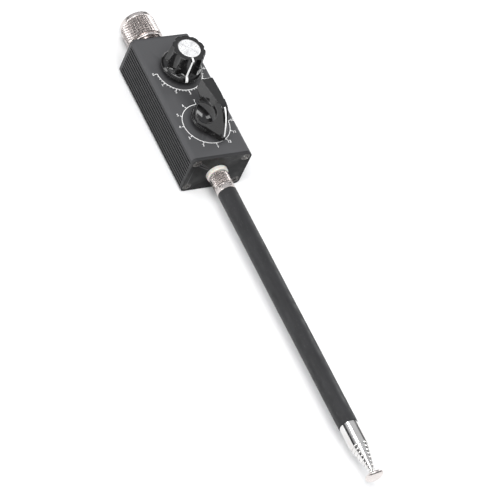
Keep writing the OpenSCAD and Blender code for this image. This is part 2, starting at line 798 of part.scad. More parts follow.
case_shell();
plug_end_plate();
whip_end_plate();
end_screws();
panel_printing();
panel_washers();
panel_nuts();
capacitor_case();
capacitor_stator();
switch_housing();
switch_wafer();
switch_contacts();
detent_spring();
circuit_board();
toroid_core();
toroid_winding();
hookup_wires();
plug_body();
plug_insulator();
plug_pin();
plug_nut();
whip_stud();
whip_insulator();
whip_inner_washer();
whip_lug();
whip_stud_nut();
tuning_knob();
tuning_insert();
tuning_set_screw();
tuning_inlay();
tuning_line();
capacitor_shaft();
capacitor_rotor();
band_knob();
band_insert();
band_set_screw();
band_line();
switch_shaft();
switch_rotor();
coupling_nut();
whip_foot();
whip_sleeve();
whip_tube();
section(1);  // section_1
section(2);  // section_2
section(3);  // section_3
section(4);  // section_4
section(5);  // section_5
section(6);  // section_6
section(7);  // section_7
section(8);  // section_8
collar(1);  // collar_1
collar(2);  // collar_2
collar(3);  // collar_3
collar(4);  // collar_4
collar(5);  // collar_5
collar(6);  // collar_6
collar(7);  // collar_7
collar(8);  // collar_8
whip_button();
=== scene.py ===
"""Looks of a pocket antenna tuner: ribbed black case, two dial knobs, UHF plug and telescopic whip."""

import json
import math

import bmesh
import bpy
import numpy as np
from mathutils import Matrix, Vector


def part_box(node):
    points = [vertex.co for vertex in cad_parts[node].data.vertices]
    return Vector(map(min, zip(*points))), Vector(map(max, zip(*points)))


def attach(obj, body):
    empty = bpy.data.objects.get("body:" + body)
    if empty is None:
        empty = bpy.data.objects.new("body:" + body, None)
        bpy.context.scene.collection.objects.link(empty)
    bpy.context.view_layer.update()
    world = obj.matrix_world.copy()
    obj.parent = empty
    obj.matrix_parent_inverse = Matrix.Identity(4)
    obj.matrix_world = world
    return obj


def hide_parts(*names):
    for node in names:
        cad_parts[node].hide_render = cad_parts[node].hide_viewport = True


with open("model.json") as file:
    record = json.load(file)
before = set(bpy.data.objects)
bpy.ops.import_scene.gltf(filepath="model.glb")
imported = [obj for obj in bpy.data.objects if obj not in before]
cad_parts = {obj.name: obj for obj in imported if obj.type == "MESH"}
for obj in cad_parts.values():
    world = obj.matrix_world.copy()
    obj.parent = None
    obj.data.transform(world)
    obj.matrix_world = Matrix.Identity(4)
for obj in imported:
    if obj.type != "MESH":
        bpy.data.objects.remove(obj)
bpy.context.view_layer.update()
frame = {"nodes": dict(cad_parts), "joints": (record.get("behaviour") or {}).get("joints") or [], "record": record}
JOINTS = {joint["name"]: joint for joint in frame["joints"]}
MM = 0.001

# ---------------------------------------------------------------- camera, floor and light

# The eye, from the middle of the case's back face, and how it looks, in metres and degrees
EYE = Vector((-0.66703, -0.72785, 0.98794))
LOOK_AZIMUTH = -46.45
LOOK_DOWN = 46.82
ROLL = 27.84
LENS_MM = 180
SENSOR_MM = 36


def case_middle():
    low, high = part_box("case_shell")
    return Vector((0, (low.y + high.y) / 2, 0))


def add_camera():
    data = bpy.data.cameras.new("camera")
    data.lens = LENS_MM
    data.sensor_width = SENSOR_MM
    data.clip_end = 20
    camera = bpy.data.objects.new("camera", data)
    bpy.context.scene.collection.objects.link(camera)
    turn = Matrix.Rotation(math.radians(LOOK_AZIMUTH), 4, "Z")
    tilt = Matrix.Rotation(math.radians(90 - LOOK_DOWN), 4, "X")
    roll = Matrix.Rotation(math.radians(ROLL), 4, "Z")
    camera.matrix_world = Matrix.Translation(case_middle() + EYE) @ turn @ tilt @ roll
    bpy.context.scene.camera = camera


def add_floor():
    size = 6
    mesh = bpy.data.meshes.new("floor")
    corners = [(-size, -size), (size, -size), (size, size), (-size, size)]
    mesh.from_pydata([(x, y, -0.0002) for x, y in corners], [], [(0, 1, 2, 3)])
    floor = bpy.data.objects.new("floor", mesh)
    bpy.context.scene.collection.objects.link(floor)
    mesh.materials.append(Surface("studio_floor", (0.93, 0.93, 0.93), roughness=0.9).material)


def add_panel_light(name, place, target, size, power):
    data = bpy.data.lights.new(name, "AREA")
    data.shape = "RECTANGLE"
    data.size, data.size_y = size
    data.energy = power
    light = bpy.data.objects.new(name, data)
    light.location = place
    light.rotation_euler = (Vector(target) - Vector(place)).to_track_quat("-Z", "Y").to_euler()
    bpy.context.scene.collection.objects.link(light)


def add_lights():
    middle = case_middle()
    add_panel_light("overhead", middle + Vector((-0.55, -0.5, 1.5)), middle, (1.2, 0.9), 23)
    add_panel_light("left_box", middle + Vector((-1.4, 0.5, 0.6)), middle, (0.5, 0.9), 6)
    add_panel_light("right_box", middle + Vector((1.4, 0.5, 0.7)), middle, (0.4, 0.9), 7)
    world = bpy.data.worlds.new("studio")
    world.use_nodes = True
    nodes, links = world.node_tree.nodes, world.node_tree.links
    background = nodes["Background"]
    direction = nodes.new("ShaderNodeTexCoord")
    split = nodes.new("ShaderNodeSeparateXYZ")
    ramp = nodes.new("ShaderNodeValToRGB")
    ramp.color_ramp.elements[0].position = 0.3
    ramp.color_ramp.elements[0].color = (0.05, 0.05, 0.055, 1)
    ramp.color_ramp.elements[1].position = 0.68
    ramp.color_ramp.elements[1].color = (0.8, 0.81, 0.83, 1)
    links.new(direction.outputs["Generated"], split.inputs[0])
    links.new(split.outputs["Z"], ramp.inputs["Fac"])
    links.new(ramp.outputs["Color"], background.inputs["Color"])
    background.inputs["Strength"].default_value = 0.85
    bpy.context.scene.world = world
    bpy.context.scene.view_settings.view_transform = "Standard"


# ---------------------------------------------------------------- materials


class Surface:
    """A Principled material whose procedural detail is added layer by layer, in millimetres."""

    def __init__(self, name, colour, roughness=0.5, metallic=0.0, **sockets):
        self.material = bpy.data.materials.new(name)
        self.material.use_nodes = True
        self.nodes = self.material.node_tree.nodes
        self.links = self.material.node_tree.links
        self.shader = self.nodes["Principled BSDF"]
        self.shader.inputs["Base Color"].default_value = (*colour, 1)
        self.shader.inputs["Roughness"].default_value = roughness
        self.shader.inputs["Metallic"].default_value = metallic
        for socket, value in sockets.items():
            self.shader.inputs[socket.replace("_", " ")].default_value = value
        self.colour = None
        self.rough = None
        self.normal = None
        self.coords = self.nodes.new("ShaderNodeTexCoord").outputs["Object"]

    def mapped(self, stretch=(1, 1, 1)):
        node = self.nodes.new("ShaderNodeMapping")
        node.inputs["Scale"].default_value = [1000 * s for s in stretch]
        self.links.new(self.coords, node.inputs["Vector"])
        return node.outputs["Vector"]

    def noise(self, size_mm, stretch=(1, 1, 1), detail=3.0, rough=0.5):
        node = self.nodes.new("ShaderNodeTexNoise")
        node.inputs["Scale"].default_value = 1 / size_mm
        node.inputs["Detail"].default_value = detail
        node.inputs["Roughness"].default_value = rough
        self.links.new(self.mapped(stretch), node.inputs["Vector"])
        return node.outputs["Fac"]

    def ramp(self, value, low, high, low_at=0.35, high_at=0.65):
        node = self.nodes.new("ShaderNodeMapRange")
        node.inputs["From Min"].default_value = low_at
        node.inputs["From Max"].default_value = high_at
        node.inputs["To Min"].default_value = low
        node.inputs["To Max"].default_value = high
        self.links.new(value, node.inputs["Value"])
        return node.outputs["Result"]

    def tint(self, value, colour, low_at=0.35, high_at=0.65, strength=1.0):
        """Mixes a colour in where value is high."""
        node = self.nodes.new("ShaderNodeMix")
        node.data_type = "RGBA"
        if self.colour is None:
            node.inputs["A"].default_value = self.shader.inputs["Base Color"].default_value
        else:
            self.links.new(self.colour, node.inputs["A"])
        node.inputs["B"].default_value = (*colour, 1)
        self.links.new(self.ramp(value, 0, strength, low_at, high_at), node.inputs["Factor"])
        self.colour = node.outputs["Result"]
        self.links.new(self.colour, self.shader.inputs["Base Color"])
        return self

    def roughen(self, value, low, high, low_at=0.35, high_at=0.65):
        """Makes roughness run from low to high with value."""
        self.rough = self.ramp(value, low, high, low_at, high_at)
        self.links.new(self.rough, self.shader.inputs["Roughness"])
        return self

    def bump(self, value, height_mm, strength=1.0):
        node = self.nodes.new("ShaderNodeBump")
        node.inputs["Distance"].default_value = height_mm * MM
        node.inputs["Strength"].default_value = strength
        self.links.new(value, node.inputs["Height"])
        if self.normal is not None:
            self.links.new(self.normal, node.inputs["Normal"])
        self.normal = node.outputs["Normal"]
        self.links.new(self.normal, self.shader.inputs["Normal"])
        return self

    def edges(self, colour, low_at=0.52, high_at=0.6, strength=0.6):
        """Lightens the convex edges: handling wear, and on the case and the screws a painted highlight as well."""
        convex = self.nodes.new("ShaderNodeNewGeometry").outputs["Pointiness"]
        return self.tint(convex, colour, low_at, high_at, strength)


    def grime(self, colour, low_at=0.49, high_at=0.42, strength=0.9):
        """Darkens the hollows: painted shade, with the dirt that stays there."""
        hollow = self.nodes.new("ShaderNodeNewGeometry").outputs["Pointiness"]
        return self.tint(hollow, colour, low_at, high_at, strength)


def anodised(name, groove_shade_below=None):
    """Satin black anodising with faint draw lines; below a height, painted shade in the grooves and a painted
    highlight on the lands between them.
    """
    s = Surface(name, (0.009, 0.009, 0.0095), 0.4, 0.0, Specular_IOR_Level=0.16)
    s.tint(s.noise(9, (1, 0.15, 1), 4), (0.013, 0.013, 0.0135))
    s.tint(s.noise(0.35, (1, 0.05, 1), 2), (0.02, 0.02, 0.021), 0.5, 0.8, 0.5)
    # Convex edges lightened: handling wear, and on the ribbed case a painted highlight along the groove lips.
    s.edges((0.13, 0.13, 0.135))
    if groove_shade_below is not None:
        split = s.nodes.new("ShaderNodeSeparateXYZ")
        s.links.new(s.mapped(), split.inputs[0])
        side, groove_shade = s.nodes.new("ShaderNodeMath"), s.nodes.new("ShaderNodeMath")
        side.operation, groove_shade.operation = "ABSOLUTE", "MULTIPLY"
        s.links.new(split.outputs["X"], side.inputs[0])
        s.links.new(s.ramp(side.outputs[0], 1, 0, CASE_W / 2 - 0.3, CASE_W / 2 - 0.05), groove_shade.inputs[0])
        s.links.new(s.ramp(split.outputs["Z"], 1, 0, groove_shade_below, groove_shade_below + 0.2), groove_shade.inputs[1])
        # Painted shade: inside the grooves, below that height, the colour goes near black.
        s.tint(groove_shade.outputs[0], (0.001, 0.001, 0.001), 0, 1)
        # Painted highlight: the flat lands between the grooves are lightened, as lit crests.
        s.tint(side.outputs[0], (0.03, 0.03, 0.031), CASE_W / 2 - 0.05, CASE_W / 2 - 0.01, 0.8)
    s.roughen(s.noise(3, (1, 0.3, 1), 5), 0.36, 0.5)
    s.bump(s.noise(0.06, (1, 1, 1), 2), 0.006)
    s.bump(s.noise(0.25, (1, 0.03, 1), 2), 0.004)
    return s.material


def screw_black():
    s = Surface("black_oxide", (0.05, 0.05, 0.05), 0.3, 0.85)
    s.tint(s.noise(0.8), (0.11, 0.105, 0.1))
    # Painted highlight with wear: the head's rim and the cross's edges are lightened.
    s.edges((0.4, 0.39, 0.37), 0.51, 0.57, 0.8)
    s.roughen(s.noise(0.4), 0.28, 0.5)
    s.bump(s.noise(0.08), 0.01)
    return s.material


def ink():
    s = Surface("white_ink", (0.95, 0.95, 0.94), 0.6)
    s.tint(s.noise(0.25, detail=4), (0.7, 0.7, 0.69), 0.5, 0.75, 0.5)
    s.roughen(s.noise(0.3), 0.5, 0.75)
    s.bump(s.noise(0.12), 0.01)
    return s.material


def plated(name, colour, rough, stain):
    """Nickel plate: warm, with fine handling marks."""
    s = Surface(name, colour, rough, 1.0)
    s.tint(s.noise(2.5, detail=4), stain, 0.42, 0.7, 0.4)
    # Painted shade with dirt: the hollows of the knurls are darkened.
    s.grime((0.035, 0.03, 0.028), 0.5, 0.455, 0.75)
    s.roughen(s.noise(0.7, detail=5), rough * 0.7, rough * 1.5)
    s.bump(s.noise(0.15, (1, 4, 1), 3), 0.004)
    return s.material


def chrome():
    s = Surface("chrome", (0.74, 0.73, 0.72), 0.1, 1.0)
    s.tint(s.noise(4, (1, 0.3, 1), 4), (0.62, 0.6, 0.585), 0.4, 0.7, 0.6)
    s.roughen(s.noise(0.5, (1, 0.06, 1), 3), 0.06, 0.2)
    s.bump(s.noise(0.12, (1, 0.03, 1), 2), 0.0015)
    return s.material


def bakelite():
    """Polished black moulding with faint flow marks and a few dull spots."""
    s = Surface(
        "black_bakelite", (0.005, 0.005, 0.0055), 0.1, 0.0, Specular_IOR_Level=0.45, Coat_Weight=0.3,
    )
    s.shader.inputs["Coat Roughness"].default_value = 0.06
    s.tint(s.noise(2.2, detail=5), (0.01, 0.0095, 0.009))
    s.edges((0.045, 0.045, 0.046), 0.54, 0.64, 0.5)
    s.roughen(s.noise(1.2, detail=6), 0.06, 0.16)
    s.bump(s.noise(1.6, detail=2), 0.02)
    s.bump(s.noise(0.1, detail=2), 0.0015)
    return s.material


def spun_disc():
    """Turned aluminium: fine rings, and pale and grey sectors of painted highlight where the turning marks catch
    the light.
    """
    s = Surface("spun_aluminium", (0.95, 0.95, 0.95), 0.3, 0.45)
    rings = s.nodes.new("ShaderNodeTexWave")
    rings.wave_type = "RINGS"
    rings.rings_direction = "SPHERICAL"
    rings.inputs["Scale"].default_value = 1.6
    rings.inputs["Distortion"].default_value = 0.4
    move = s.nodes.new("ShaderNodeMapping")
    move.vector_type = "POINT"
    move.inputs["Scale"].default_value = (1000, 1000, 1000)
    low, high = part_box("tuning_inlay")
    move.inputs["Location"].default_value = [-1000 * c for c in (low + high) / 2]
    s.links.new(s.coords, move.inputs["Vector"])
    s.links.new(move.outputs["Vector"], rings.inputs["Vector"])
    # Four pale and four grey sectors, as turning marks catch the light
    sectors = s.nodes.new("ShaderNodeTexGradient")
    sectors.gradient_type = "RADIAL"
    s.links.new(move.outputs["Vector"], sectors.inputs["Vector"])
    wave = s.nodes.new("ShaderNodeMath")
    wave.operation = "PINGPONG"
    wave.inputs[1].default_value = 0.125
    s.links.new(sectors.outputs["Fac"], wave.inputs[0])
    s.tint(wave.outputs[0], (0.62, 0.62, 0.63), 0.07, 0.125, 0.8)
    s.tint(s.noise(1.5, detail=5), (0.8, 0.8, 0.8), 0.35, 0.65, 0.4)
    s.roughen(s.noise(0.8, detail=4), 0.24, 0.42)
    s.bump(rings.outputs["Fac"], 0.006)
    return s.material


def sleeve_black():
    """Heat-shrunk sleeve: matt, with faint lengthwise lines and small scuffs."""
    s = Surface("sleeve_black", (0.012, 0.012, 0.013), 0.5, 0.0, Specular_IOR_Level=0.4)
    s.tint(s.noise(6, (1, 0.2, 1), 4), (0.022, 0.022, 0.024))
    s.tint(s.noise(0.7, (1, 0.4, 1), 5), (0.055, 0.055, 0.057), 0.6, 0.78, 0.6)
    s.roughen(s.noise(2, (1, 0.4, 1), 5), 0.42, 0.6)
    s.bump(s.noise(0.5, (1, 0.05, 1), 2), 0.02)
    s.bump(s.noise(0.12, (1, 1, 1), 3), 0.012)
    return s.material


def ivory():
    s = Surface("ivory_nylon", (0.84, 0.82, 0.77), 0.35, 0.0, Subsurface_Weight=0.25)
    s.shader.inputs["Subsurface Scale"].default_value = 0.002
    s.tint(s.noise(1.8, detail=4), (0.72, 0.7, 0.65))
    s.roughen(s.noise(0.6), 0.28, 0.45)
    s.bump(s.noise(0.3), 0.01)
    return s.material


def brass():
    s = Surface("turned_brass", (0.72, 0.5, 0.2), 0.25, 1.0)
    s.tint(s.noise(1.5, detail=4), (0.5, 0.33, 0.13))
    s.roughen(s.noise(0.5), 0.18, 0.4)
    s.bump(s.noise(0.1, (1, 5, 1)), 0.004)
    return s.material


def plain_plastic(name, colour, stain, rough=0.45, **sockets):
    """Satin moulded or laminated plastic with a mottled tone."""
    s = Surface(name, colour, rough, 0.0, **sockets)
    s.tint(s.noise(1.2, detail=5), stain)
    s.roughen(s.noise(0.5, detail=4), rough * 0.8, rough * 1.25)
    s.bump(s.noise(0.2, detail=3), 0.01)
    return s.material


# ---------------------------------------------------------------- mesh tools, in millimetres

SHARP = math.radians(38)


def place_on(joint, turn=None):
    """Millimetres in a joint's own frame, to metres in the row frame."""
    spin = Matrix.Identity(4) if turn is None else Matrix.Rotation(math.radians(turn), 4, "X")
    return Matrix.Translation(JOINTS[joint]["pos_m"]) @ spin @ Matrix.Scale(MM, 4)


ON_TUNE = place_on("tune_turn")
ON_BAND = place_on("band_turn")
ON_PLUG = place_on("coupling_turn", -90)
ON_WHIP = place_on("whip_turn", 90)
ON_CASE = Matrix.Scale(MM, 4)


def extent(node, place):
    """A node's lowest and highest corners in a place's own millimetres."""
    corners = [place.inverted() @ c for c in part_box(node)]
    low = Vector(map(min, *corners))
    high = Vector(map(max, *corners))
    return low, high


def finish_mesh(mesh, sharp=SHARP):
    bm = bmesh.new()
    bm.from_mesh(mesh)
    bmesh.ops.remove_doubles(bm, verts=bm.verts, dist=1e-5)
    bmesh.ops.recalc_face_normals(bm, faces=bm.faces)
    bm.to_mesh(mesh)
    bm.free()
    mesh.shade_smooth()
    mesh.set_sharp_from_angle(angle=sharp)


def make_mesh(name, verts, faces, sharp=SHARP):
    mesh = bpy.data.meshes.new(name)
    mesh.from_pydata(verts, [], faces)
    finish_mesh(mesh, sharp)
    return mesh


def add_piece(name, mesh, place, body, slot, material, *stands_for):
    mesh.transform(place)
    if place.determinant() < 0:
        mesh.flip_normals()
    mesh.materials.clear()
    mesh.materials.append(material)
    obj = bpy.data.objects.new(name, mesh)
    bpy.context.scene.collection.objects.link(obj)
    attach(obj, body)
    if stands_for:
        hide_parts(*stands_for)
    return obj


def rounded(points, steps=4):
    """An outline of (x, y) or (x, y, fillet) points, with each fillet drawn as a smooth arc."""
    out = []
    for i, point in enumerate(points):
        fillet = point[2] if len(point) > 2 else 0
        here = Vector(point[:2])
        if not fillet:
            out.append(tuple(here))
            continue
        before = Vector(points[i - 1][:2]) - here
        after = Vector(points[(i + 1) % len(points)][:2]) - here
        start = here + before.normalized() * min(fillet, before.length * 0.5)
        end = here + after.normalized() * min(fillet, after.length * 0.5)
        for k in range(steps + 1):
            t = k / steps
            out.append(tuple(start * (1 - t) ** 2 + here * 2 * t * (1 - t) + end * t * t))
    return out


def lathe(name, outline, segments=96, shift=None, sharp=SHARP):
    """Turns a closed (radius, height) outline round Z. shift(radius, height, angle) moves a point out."""
    verts, rings = [], []
    for radius, height in outline:
        if radius < 1e-6:
            rings.append([len(verts)] * segments)
            verts.append((0, 0, height))
            continue
        ring = []
        for k in range(segments):
            angle = 2 * math.pi * k / segments
            r = radius + (shift(radius, height, angle) if shift else 0)
            ring.append(len(verts))
            verts.append((r * math.cos(angle), r * math.sin(angle), height))
        rings.append(ring)
    faces = []
    for i, ring in enumerate(rings):
        other = rings[(i + 1) % len(rings)]
        if ring[0] == ring[1] and other[0] == other[1]:
            continue
        for k in range(segments):
            j = (k + 1) % segments
            face = [ring[k], ring[j], other[j], other[k]]
            kept = [v for n, v in enumerate(face) if v != face[n - 1]]
            if len(kept) > 2:
                faces.append(kept)
    return make_mesh(name, verts, faces, sharp)


def slab(name, outer, holes, height, sharp=SHARP):
    """An outline with holes, raised from z = 0 to height. All loops are lists of (x, y)."""
    bm = bmesh.new()
    for loop in [outer, *holes]:
        verts = [bm.verts.new((x, y, 0)) for x, y in loop]
        for a, b in zip(verts, verts[1:] + verts[:1]):
            bm.edges.new((a, b))
    bmesh.ops.triangle_fill(bm, edges=bm.edges[:], use_beauty=True, use_dissolve=False)
    bottom = bm.faces[:]
    top = bmesh.ops.extrude_face_region(bm, geom=bottom)["geom"]
    bmesh.ops.translate(bm, verts=[v for v in top if isinstance(v, bmesh.types.BMVert)], vec=(0, 0, height))
    bmesh.ops.recalc_face_normals(bm, faces=bm.faces)
    mesh = bpy.data.meshes.new(name)
    bm.to_mesh(mesh)
    bm.free()
    finish_mesh(mesh, sharp)
    return mesh


def evaluated(obj):
    """The mesh of an object with its modifiers applied."""
    graph = bpy.context.evaluated_depsgraph_get()
    return bpy.data.meshes.new_from_object(obj.evaluated_get(graph))


def cut(mesh, cutters, bevel=0.0):
    """The mesh less the cutter meshes, with its sharp edges bevelled if asked."""
    body = bpy.data.objects.new("body_to_cut", mesh)
    bpy.context.scene.collection.objects.link(body)
    tools = []
    for cutter in cutters:
        tool = bpy.data.objects.new("cutter", cutter)
        bpy.context.scene.collection.objects.link(tool)
        tools.append(tool)
        boolean = body.modifiers.new("cut", "BOOLEAN")
        boolean.operation = "DIFFERENCE"
        boolean.solver = "EXACT"
        boolean.object = tool
    if bevel:
        edge = body.modifiers.new("bevel", "BEVEL")
        edge.width = bevel
        edge.segments = 2
        edge.limit_method = "ANGLE"
        edge.angle_limit = math.radians(50)
    result = evaluated(body)
    for obj in [body, *tools]:
        bpy.data.objects.remove(obj)
    finish_mesh(result)
    return result


def moved(mesh, *matrices):
    for matrix in matrices:
        mesh.transform(matrix)
    return mesh


def rod(radius, low, high, segments=48):
    return lathe("rod", [(0, low), (radius, low), (radius, high), (0, high)], segments)


def joined(name, meshes):
    bm = bmesh.new()
    for mesh in meshes:
        bm.from_mesh(mesh)
    out = bpy.data.meshes.new(name)
    bm.to_mesh(out)
    bm.free()
    out.shade_smooth()
    out.set_sharp_from_angle(angle=SHARP)
    return out


def stretch(radius, low, high, step):
    """Points up a straight wall, close enough together for a pattern to be cut in it."""
    count = max(1, round((high - low) / step))
    return [(radius, low + (high - low) * k / count) for k in range(count + 1)]


def saw(value):
    """A triangle wave from 0 to 1 and back, once for each unit of value."""
    return 1 - abs(2 * (value - math.floor(value)) - 1)


def knurl(count, depth, low, high, least_radius):
    """Diamond knurling on a wall from low to high, count diamonds round."""
    pitch = 2 * math.pi * least_radius / count * 1.25

    def shift(radius, height, angle):
        if radius < least_radius or not low < height < high:
            return 0
        along, around = (height - low) / pitch, count * angle / (2 * math.pi)
        peak = min(saw(around + along), saw(around - along))
        fade = min(1, (height - low) / 0.4, (high - height) / 0.4)
        return -depth * (1 - min(1, 1.5 * peak)) * fade

    return shift


def skin(name, surface, rows, columns, lift, depth):
    """A thin closed patch that follows a surface. surface(row, column) gives (point, outward)."""
    verts = []
    for offset in (lift, -depth):
        for i in range(rows):
            for j in range(columns):
                point, outward = surface(i / (rows - 1), j / (columns - 1))
                verts.append(tuple(Vector(point) + Vector(outward) * offset))
    layer = rows * columns
    faces = []
    for i in range(rows - 1):
        for j in range(columns - 1):
            a = i * columns + j
            quad = (a, a + 1, a + columns + 1, a + columns)
            faces += [quad, tuple(v + layer for v in reversed(quad))]
    rim = [i * columns for i in range(rows)] + [(rows - 1) * columns + j for j in range(1, columns)]
    rim += [i * columns + columns - 1 for i in range(rows - 2, -1, -1)]
    rim += [j for j in range(columns - 2, 0, -1)]
    for a, b in zip(rim, rim[1:] + rim[:1]):
        faces.append((a, b, b + layer, a + layer))
    return make_mesh(name, verts, faces)


def surface_net(name, field, low, high, step):
    """The smooth surface where a field is zero (negative inside), by the surface-nets method."""
    axes = [np.arange(a, b + step, step) for a, b in zip(low, high)]
    grid = np.meshgrid(*axes, indexing="ij")
    values = field(*grid)
    shape = np.array(values.shape) - 1
    total, count = np.zeros((*shape, 3)), np.zeros(shape)
    corners = [(i, j, k) for i in (0, 1) for j in (0, 1) for k in (0, 1)]

    def part(array, corner):
        return array[tuple(slice(c, c + n) for c, n in zip(corner, shape))]

    for a in corners:
        for axis in range(3):
            if a[axis]:
                continue
            b = tuple(c + (n == axis) for n, c in enumerate(a))
            va, vb = part(values, a), part(values, b)
            crossed = (va < 0) != (vb < 0)
            t = np.where(crossed, va / np.where(crossed, va - vb, 1), 0)
            for n in range(3):
                place = a[n] + (t if n == axis else 0)
                total[..., n] += np.where(crossed, place, 0)
            count += crossed
    used = count > 0
    index = np.full(used.shape, -1)
    index[used] = np.arange(used.sum())
    cells = np.argwhere(used)
    verts = (cells + total[used] / count[used][:, None]) * step + np.array(low)
    faces = []
    for axis in range(3):
        u, v = (axis + 1) % 3, (axis + 2) % 3
        a = values.take(range(shape[axis]), axis)
        b = values.take(range(1, shape[axis] + 1), axis)
        for cell in np.argwhere((a < 0) != (b < 0)):
            if not (0 < cell[u] < shape[u] and 0 < cell[v] < shape[v]):
                continue
            du, dv = np.eye(3, dtype=int)[u], np.eye(3, dtype=int)[v]
            faces.append([index[tuple(cell - d)] for d in (0 * du, du, du + dv, dv)])
    return make_mesh(
        name, [tuple(v) for v in verts], [tuple(int(i) for i in f) for f in faces], math.radians(60),
    )


# ---------------------------------------------------------------- case, end plates and screws

CASE_LOW, CASE_HIGH = (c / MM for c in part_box("case_shell"))
CASE_W = CASE_HIGH.x - CASE_LOW.x
CASE_H = CASE_HIGH.z
CASE_R = 2.5
WALL = 1.5
GROOVES = 10
GROOVE_PITCH = 2.1
GROOVE_FIRST = 2.6
GROOVE_R = 0.5
GROOVE_IN = 0.35
BUSHING_R = 3.5
SCREW_INSET = 3.3
SCREW_HEAD_R = 2.7
SCREW_SINK = 0.12
PLATE_T = 2.0
PLUG_BORE_R = 5.6
WHIP_BORE_R = 4.05
# An extrusion drawn in (x, z) stands up along Y
STANDS_ALONG_Y = Matrix(((1, 0, 0, 0), (0, 0, 1, 0), (0, 1, 0, 0), (0, 0, 0, 1)))


def corner_arcs(width, height, radius, steps=8):
    """A rounded rectangle from z = 0 to height, middle at x = 0, as [(x, z)]."""
    out = []
    for sx, cz, start in (
        (1, radius, -90), (1, height - radius, 0), (-1, height - radius, 90), (-1, radius, 180),
    ):
        for k in range(steps + 1):
            angle = math.radians(start + 90 * k / steps)
            out.append(
                (sx * (width / 2 - radius) + radius * math.cos(angle), cz + radius * math.sin(angle)),
            )
    return out


def groove_points(side, z):
    """One groove with softened lips in the face on a side, from low to high."""
    face = CASE_W / 2
    arc = [math.radians(a) for a in range(-75, 76, 25)]
    points = [(face, z - GROOVE_R - 0.02, 0.16)]
    points += [(face - GROOVE_IN - GROOVE_R * math.cos(a), z + GROOVE_R * math.sin(a)) for a in arc]
    points += [(face, z + GROOVE_R + 0.02, 0.16)]
    return [(side * p[0], *p[1:]) for p in points]


def case_mesh():
    outline = corner_arcs(CASE_W, CASE_H, CASE_R)
    heights = [GROOVE_FIRST + GROOVE_PITCH * i for i in range(GROOVES)]
    right = [p for z in heights for p in groove_points(1, z)]
    left = [p for z in heights for p in groove_points(-1, z)][::-1]
    quarter = len(outline) // 4
    outer = rounded(
        outline[:quarter] + right + outline[quarter : 3 * quarter] + left + outline[3 * quarter :], 3,
    )
    inner = corner_arcs(CASE_W - 2 * WALL, CASE_H - 2 * WALL, 1.2, 4)
    inner = [(x, z + WALL) for x, z in inner]
    length = CASE_HIGH.y - CASE_LOW.y
    shell = slab("case_body", outer, [inner[::-1]], length, math.radians(30))
    moved(shell, Matrix.Translation((0, CASE_LOW.y, 0)) @ STANDS_ALONG_Y)
    holes = []
    for joint in ("tune_turn", "band_turn"):
        spot = Vector(JOINTS[joint]["pos_m"]) / MM
        holes.append(moved(rod(BUSHING_R + 0.05, -3, 1), Matrix.Translation(spot)))
    shell.flip_normals()
    finish_mesh(shell, math.radians(30))
    return cut(shell, holes)


def screw_spots():
    for x in (-1, 1):
        for z in (SCREW_INSET, CASE_H - SCREW_INSET):
            yield x * (CASE_W / 2 - SCREW_INSET), z


def plate_mesh(name, bore, bore_y):
    """An end plate lying on z = 0 with its countersinks on top, x across and y up the case."""
    outer = corner_arcs(CASE_W, CASE_H, CASE_R)
    circle = [math.radians(a) for a in range(0, 360, 6)]
    holes = [[(bore * math.cos(a), bore_y + bore * math.sin(a)) for a in circle]]
    plate = slab(name, outer, holes, PLATE_T)
    sinks = []
    for x, y in screw_spots():
        profile = [
            (0, -1), (1.65, -1), (1.65, 0.5), (SCREW_HEAD_R + 0.18, PLATE_T + 0.03),
            (SCREW_HEAD_R + 0.18, 3), (0, 3),
        ]
        sinks.append(moved(lathe("sink", profile, 48), Matrix.Translation((x, y, 0))))
    return cut(plate, sinks, bevel=0.22)


def screw_mesh(spin):
    """A countersunk cross-head screw, its head's top at z = 0."""
    profile = rounded(
        [
            (0, 0.02), (1.2, 0.02), (SCREW_HEAD_R - 0.12, -0.06, 0.1), (SCREW_HEAD_R, -0.2, 0.08),
            (1.5, -1.5, 0.15),
        ]
    )
    thread = [(1.45 if k % 2 else 1.2, -1.8 - 0.25 * k) for k in range(24)]
    screw = lathe("screw", profile + thread + [(0.9, -8), (0, -8)], 48)
    wide, narrow, deep = 1.55, 0.75, 1.3
    cross = []
    for turn in (0, 90):
        verts = []
        for z, length, width in ((0.5, wide + 0.15, 0.36), (-deep, narrow, 0.2)):
            verts += [(length, width, z), (-length, width, z), (-length, -width, z), (length, -width, z)]
        faces = [(0, 1, 2, 3), (7, 6, 5, 4), (0, 4, 5, 1), (1, 5, 6, 2), (2, 6, 7, 3), (3, 7, 4, 0)]
        arm = make_mesh("arm", verts, faces)
        cross.append(moved(arm, Matrix.Rotation(math.radians(turn + spin), 4, "Z")))
    return cut(screw, cross)


SCREW_TURNS = (18, 62, 35, 80, 8, 47, 71, 25)


def build_case(mats):
    add_piece(
        "case_body", case_mesh(), ON_CASE, "case", "black_anodised", mats["black_anodised"],
        "case_shell",
    )
    turns = iter(SCREW_TURNS)
    screws = []
    ends = (("plug_end_plate", ON_PLUG, PLUG_BORE_R, -1), ("whip_end_plate", ON_WHIP, WHIP_BORE_R, 1))
    for node, place, bore, up in ends:
        axis_z = place.translation.z / MM
        upright = Matrix.Identity(4) if up > 0 else Matrix.Rotation(math.pi, 4, "Z")
        plate = moved(
            plate_mesh(node + "_cover", bore, axis_z),
            upright @ Matrix.Translation((0, -axis_z, -PLATE_T)),
        )
        add_piece(node + "_cover", plate, place, "case", "black_anodised", mats["end_plates"], node)
        for x, y in screw_spots():
            spot = upright @ Matrix.Translation((x, y - axis_z, -SCREW_SINK))
            screws.append(moved(screw_mesh(next(turns)), spot, place))
    add_piece(
        "end_screws_cross", joined("screws", screws), Matrix(), "case", "black_screws",
        mats["black_screws"], "end_screws",
    )


# ---------------------------------------------------------------- dial numbers

NUMERAL_H = 1.75
TUNE_NUMERAL_R = 16.1
BAND_NUMERAL_R = 16.35


